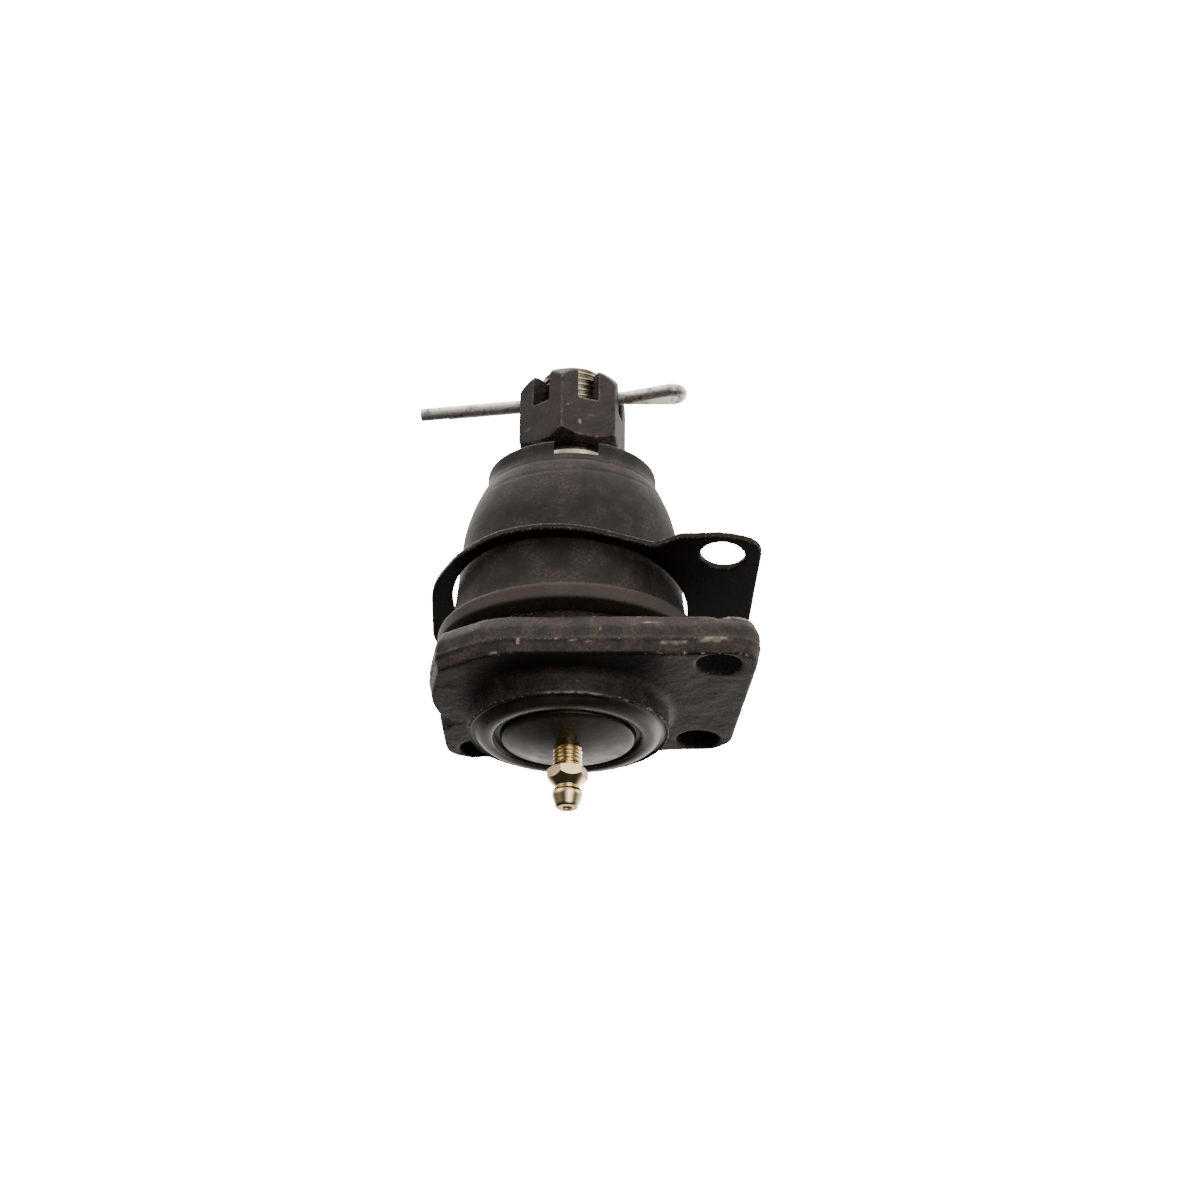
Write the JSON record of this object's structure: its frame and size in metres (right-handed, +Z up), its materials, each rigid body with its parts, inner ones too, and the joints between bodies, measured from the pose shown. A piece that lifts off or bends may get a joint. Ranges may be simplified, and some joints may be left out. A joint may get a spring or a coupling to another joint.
{
  "type": "suspension ball joint",
  "caption": "Upper suspension ball joint with a forged bolt-on flange housing, rubber boot, loose boot retainer plate, grease fitting and castle nut with cotter pin.",
  "frame": {"origin": "on the stud axis, in the flange's upper face, which meets the control arm", "axes": "+Z up along the stud axis towards the grease fitting, the stud pointing down; the two-hole edge of the flange runs along Y on the -X side"},
  "size_m": [0.075, 0.0647, 0.107],
  "materials": {
    "forged_steel": "drop forged, black phosphate, dusty",
    "sintered_iron": "sintered, oiled",
    "bright_steel": "ground bright",
    "rubber": "matte, dusty",
    "phosphated_sheet": "black phosphate",
    "yellow_zinc": "yellow zinc plate",
    "black_oxide": "black oxide, worn edges",
    "grey_zinc": "dull zinc"
  },
  "bodies": {
    "housing_body": {"housing": "forged_steel", "bearing_seat_ring": "sintered_iron", "pressure_seat": "sintered_iron", "preload_disc_spring": "bright_steel", "cover_seal_ring": "rubber", "cover_plate": "phosphated_sheet", "grease_fitting_body": "yellow_zinc"},
    "check_ball_body": {"grease_fitting_ball": "bright_steel", "grease_fitting_spring": "bright_steel"},
    "retainer_body": {"boot_retainer_plate": "phosphated_sheet"},
    "boot_body": {"boot": "rubber"},
    "boot_neck_body": {"boot_neck_ring": "bright_steel"},
    "stud_body": {"ball_stud": "bright_steel", "castle_nut": "black_oxide"},
    "cotter_pin_body": {"cotter_pin": "grey_zinc"}
  },
  "joints": [
    {"name": "stud_tilt_x", "type": "hinge", "parent": "housing_body", "child": "boot_body", "pos_m": [0, 0, -0.014], "axis": [1, 0, 0], "range_deg": [-18, 18], "deforming": ["boot"]},
    {"name": "stud_tilt_y", "type": "hinge", "parent": "boot_body", "child": "boot_neck_body", "pos_m": [0, 0, -0.014], "axis": [0, 1, 0], "range_deg": [-18, 18]},
    {"name": "stud_spin", "type": "hinge", "parent": "boot_neck_body", "child": "stud_body", "pos_m": [0, 0, -0.014], "axis": [0, 0, 1], "continuous": true},
    {"name": "cotter_pin_slide", "type": "slide", "parent": "stud_body", "child": "cotter_pin_body", "axis": [-0.9636, -0.2672, 0], "range_m": [0, 0.06]},
    {"name": "retainer_slide", "type": "slide", "parent": "housing_body", "child": "retainer_body", "axis": [0, 0, -1], "range_m": [-0.0018, 0.012]},
    {"name": "check_ball_slide", "type": "slide", "parent": "housing_body", "child": "check_ball_body", "axis": [0, 0, -1], "range_m": [0, 0.0008], "stiffness_N_per_m": 300, "springref_m": -0.002, "deforming": ["grease_fitting_spring"]}
  ]
}
